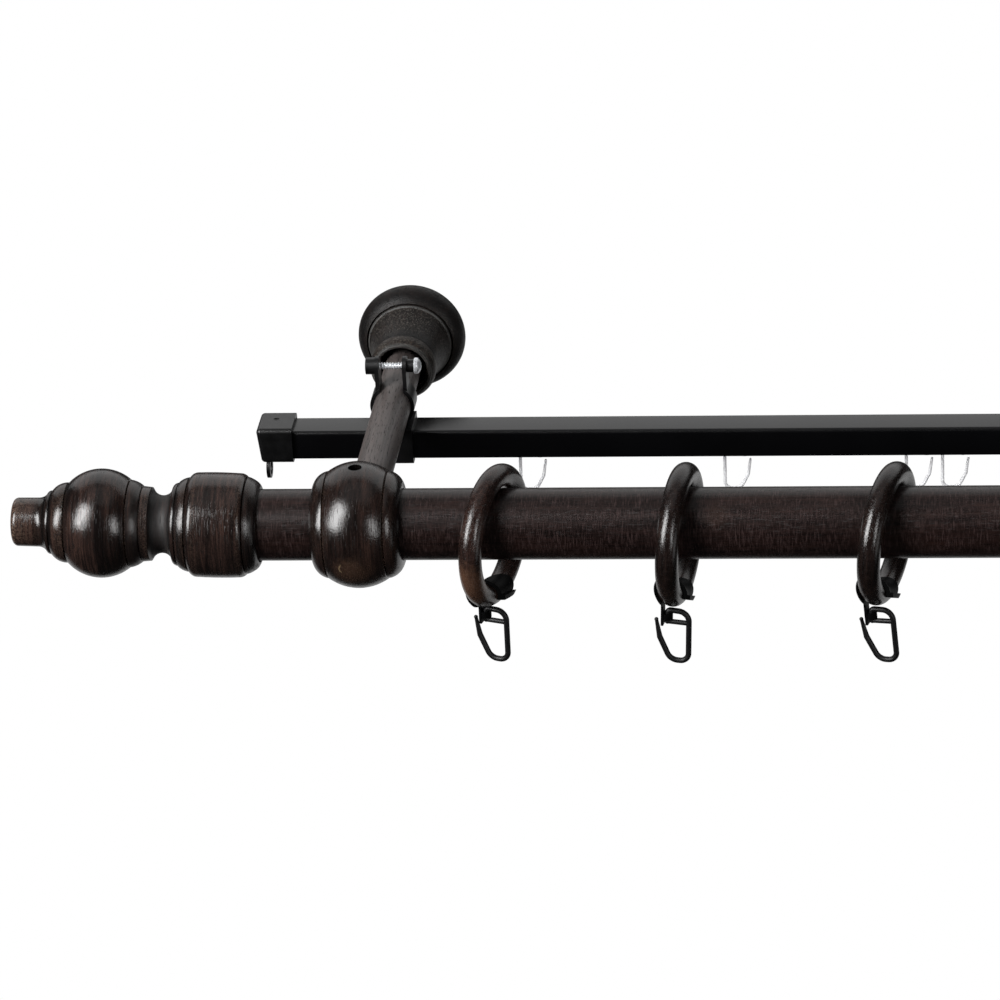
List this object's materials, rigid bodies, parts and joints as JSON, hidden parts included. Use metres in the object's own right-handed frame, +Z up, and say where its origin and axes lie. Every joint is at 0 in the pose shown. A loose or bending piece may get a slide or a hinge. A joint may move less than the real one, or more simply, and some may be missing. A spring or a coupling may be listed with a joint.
{
  "type": "wooden curtain rod",
  "caption": "Dark stained wooden curtain rod with turned finials, rings and hooks on a pole, a slotted glider rail behind it, and wooden wall bracket arms.",
  "frame": {"origin": "on the wall plane, midway between the two bracket arms' axes", "axes": "+X along the pole, +Y towards the wall, +Z up"},
  "size_m": [0.9546, 0.2082, 0.0817],
  "materials": {
    "stained_wood": "dark stained, satin varnish",
    "rail_lacquer": "black satin lacquer",
    "black_plastic": "moulded, satin",
    "clear_plastic": "clear moulded",
    "zinc_steel": "bright zinc plated",
    "dark_steel": "black oxide",
    "brass_insert": "plain"
  },
  "bodies": {
    "root": {"pole": "stained_wood", "finial_left": "stained_wood", "finial_right": "stained_wood", "cup_left": "stained_wood", "cup_right": "stained_wood", "cup_set_screws": "dark_steel", "arm_left": "stained_wood", "arm_right": "stained_wood", "arm_screws": "dark_steel", "rosette_left": "stained_wood", "rosette_right": "stained_wood", "wall_inserts": "zinc_steel", "rail_clamp_left": "black_plastic", "rail_clamp_right": "black_plastic", "clamp_screws": "zinc_steel", "clamp_nuts": "brass_insert", "rail_top": "rail_lacquer", "rail_sides": "rail_lacquer", "rail_lips": "rail_lacquer", "rail_end_cap_left": "black_plastic", "rail_end_cap_right": "black_plastic"},
    "ring_1": {"ring_1": "stained_wood", "ring_clip_1": "black_plastic"},
    "ring_hook_1": {"ring_hook_1": "black_plastic"},
    "ring_2": {"ring_2": "stained_wood", "ring_clip_2": "black_plastic"},
    "ring_hook_2": {"ring_hook_2": "black_plastic"},
    "ring_3": {"ring_3": "stained_wood", "ring_clip_3": "black_plastic"},
    "ring_hook_3": {"ring_hook_3": "black_plastic"},
    "ring_4": {"ring_4": "stained_wood", "ring_clip_4": "black_plastic"},
    "ring_hook_4": {"ring_hook_4": "black_plastic"},
    "ring_5": {"ring_5": "stained_wood", "ring_clip_5": "black_plastic"},
    "ring_hook_5": {"ring_hook_5": "black_plastic"},
    "ring_6": {"ring_6": "stained_wood", "ring_clip_6": "black_plastic"},
    "ring_hook_6": {"ring_hook_6": "black_plastic"},
    "ring_7": {"ring_7": "stained_wood", "ring_clip_7": "black_plastic"},
    "ring_hook_7": {"ring_hook_7": "black_plastic"},
    "ring_8": {"ring_8": "stained_wood", "ring_clip_8": "black_plastic"},
    "ring_hook_8": {"ring_hook_8": "black_plastic"},
    "glider_1": {"glider_1": "clear_plastic"},
    "glider_hook_1": {"glider_hook_1": "clear_plastic"},
    "glider_2": {"glider_2": "clear_plastic"},
    "glider_hook_2": {"glider_hook_2": "clear_plastic"},
    "glider_3": {"glider_3": "clear_plastic"},
    "glider_hook_3": {"glider_hook_3": "clear_plastic"},
    "glider_4": {"glider_4": "clear_plastic"},
    "glider_hook_4": {"glider_hook_4": "clear_plastic"},
    "glider_5": {"glider_5": "clear_plastic"},
    "glider_hook_5": {"glider_hook_5": "clear_plastic"},
    "glider_6": {"glider_6": "clear_plastic"},
    "glider_hook_6": {"glider_hook_6": "clear_plastic"},
    "glider_7": {"glider_7": "clear_plastic"},
    "glider_hook_7": {"glider_hook_7": "clear_plastic"}
  },
  "joints": [
    {"name": "ring_1_slide", "type": "slide", "parent": "root", "child": "ring_1", "axis": [1, 0, 0], "range_m": [-0.015, 0.02]},
    {"name": "ring_hook_1_swivel", "type": "hinge", "parent": "ring_1", "child": "ring_hook_1", "pos_m": [-0.2917, -0.18498, -0.03666], "axis": [0.0151, -0.0045, 0.9999], "range_deg": [-80, 12]},
    {"name": "ring_2_slide", "type": "slide", "parent": "root", "child": "ring_2", "axis": [1, 0, 0], "range_m": [-0.02, 0.02]},
    {"name": "ring_hook_2_swivel", "type": "hinge", "parent": "ring_2", "child": "ring_hook_2", "pos_m": [-0.21999, -0.19038, -0.03492], "axis": [0.057, -0.0078, 0.9983], "range_deg": [-80, 12]},
    {"name": "ring_3_slide", "type": "slide", "parent": "root", "child": "ring_3", "axis": [1, 0, 0], "range_m": [-0.02, 0.02]},
    {"name": "ring_hook_3_swivel", "type": "hinge", "parent": "ring_3", "child": "ring_hook_3", "pos_m": [-0.14069, -0.18976, -0.03515], "axis": [-0.0609, 0.0153, 0.998], "range_deg": [-80, 12]},
    {"name": "ring_4_slide", "type": "slide", "parent": "root", "child": "ring_4", "axis": [1, 0, 0], "range_m": [-0.02, 0.02]},
    {"name": "ring_hook_4_swivel", "type": "hinge", "parent": "ring_4", "child": "ring_hook_4", "pos_m": [-0.05805, -0.18901, -0.03596], "axis": [0, 0, 1], "range_deg": [-80, 12]},
    {"name": "ring_5_slide", "type": "slide", "parent": "root", "child": "ring_5", "axis": [1, 0, 0], "range_m": [-0.02, 0.02]},
    {"name": "ring_hook_5_swivel", "type": "hinge", "parent": "ring_5", "child": "ring_hook_5", "pos_m": [0.01702, -0.19029, -0.03509], "axis": [0, 0, 1], "range_deg": [-80, 12]},
    {"name": "ring_6_slide", "type": "slide", "parent": "root", "child": "ring_6", "axis": [1, 0, 0], "range_m": [-0.02, 0.02]},
    {"name": "ring_hook_6_swivel", "type": "hinge", "parent": "ring_6", "child": "ring_hook_6", "pos_m": [0.09922, -0.18733, -0.03643], "axis": [-0.0035, -0.0002, 1], "range_deg": [-80, 12]},
    {"name": "ring_7_slide", "type": "slide", "parent": "root", "child": "ring_7", "axis": [1, 0, 0], "range_m": [-0.02, 0.02]},
    {"name": "ring_hook_7_swivel", "type": "hinge", "parent": "ring_7", "child": "ring_hook_7", "pos_m": [0.17606, -0.18973, -0.03537], "axis": [0, 0, 1], "range_deg": [-80, 12]},
    {"name": "ring_8_slide", "type": "slide", "parent": "root", "child": "ring_8", "axis": [1, 0, 0], "range_m": [-0.02, 0.02]},
    {"name": "ring_hook_8_swivel", "type": "hinge", "parent": "ring_8", "child": "ring_hook_8", "pos_m": [0.25573, -0.18724, -0.0362], "axis": [0, 0, 1], "range_deg": [-80, 12]},
    {"name": "glider_1_slide", "type": "slide", "parent": "root", "child": "glider_1", "axis": [1, 0, 0], "range_m": [-0.02, 0.02]},
    {"name": "glider_hook_1_swivel", "type": "hinge", "parent": "glider_1", "child": "glider_hook_1", "pos_m": [-0.2815, -0.068, -0.0237], "axis": [0, 0, 1], "range_deg": [-80, 80]},
    {"name": "glider_2_slide", "type": "slide", "parent": "root", "child": "glider_2", "axis": [1, 0, 0], "range_m": [-0.03, 0.03]},
    {"name": "glider_hook_2_swivel", "type": "hinge", "parent": "glider_2", "child": "glider_hook_2", "pos_m": [-0.1982, -0.068, -0.0237], "axis": [0, 0, 1], "range_deg": [-80, 80]},
    {"name": "glider_3_slide", "type": "slide", "parent": "root", "child": "glider_3", "axis": [1, 0, 0], "range_m": [-0.03, 0]},
    {"name": "glider_hook_3_swivel", "type": "hinge", "parent": "glider_3", "child": "glider_hook_3", "pos_m": [-0.1248, -0.068, -0.0237], "axis": [0, 0, 1], "range_deg": [-80, 80]},
    {"name": "glider_4_slide", "type": "slide", "parent": "root", "child": "glider_4", "axis": [1, 0, 0], "range_m": [0, 0.03]},
    {"name": "glider_hook_4_swivel", "type": "hinge", "parent": "glider_4", "child": "glider_hook_4", "pos_m": [-0.1102, -0.068, -0.0237], "axis": [0, 0, 1], "range_deg": [-80, 80]},
    {"name": "glider_5_slide", "type": "slide", "parent": "root", "child": "glider_5", "axis": [1, 0, 0], "range_m": [-0.03, 0.03]},
    {"name": "glider_hook_5_swivel", "type": "hinge", "parent": "glider_5", "child": "glider_hook_5", "pos_m": [-0.02, -0.068, -0.0237], "axis": [0, 0, 1], "range_deg": [-80, 80]},
    {"name": "glider_6_slide", "type": "slide", "parent": "root", "child": "glider_6", "axis": [1, 0, 0], "range_m": [-0.03, 0.03]},
    {"name": "glider_hook_6_swivel", "type": "hinge", "parent": "glider_6", "child": "glider_hook_6", "pos_m": [0.096, -0.068, -0.0237], "axis": [0, 0, 1], "range_deg": [-80, 80]},
    {"name": "glider_7_slide", "type": "slide", "parent": "root", "child": "glider_7", "axis": [1, 0, 0], "range_m": [-0.03, 0.03]},
    {"name": "glider_hook_7_swivel", "type": "hinge", "parent": "glider_7", "child": "glider_hook_7", "pos_m": [0.214, -0.068, -0.0237], "axis": [0, 0, 1], "range_deg": [-80, 80]}
  ]
}
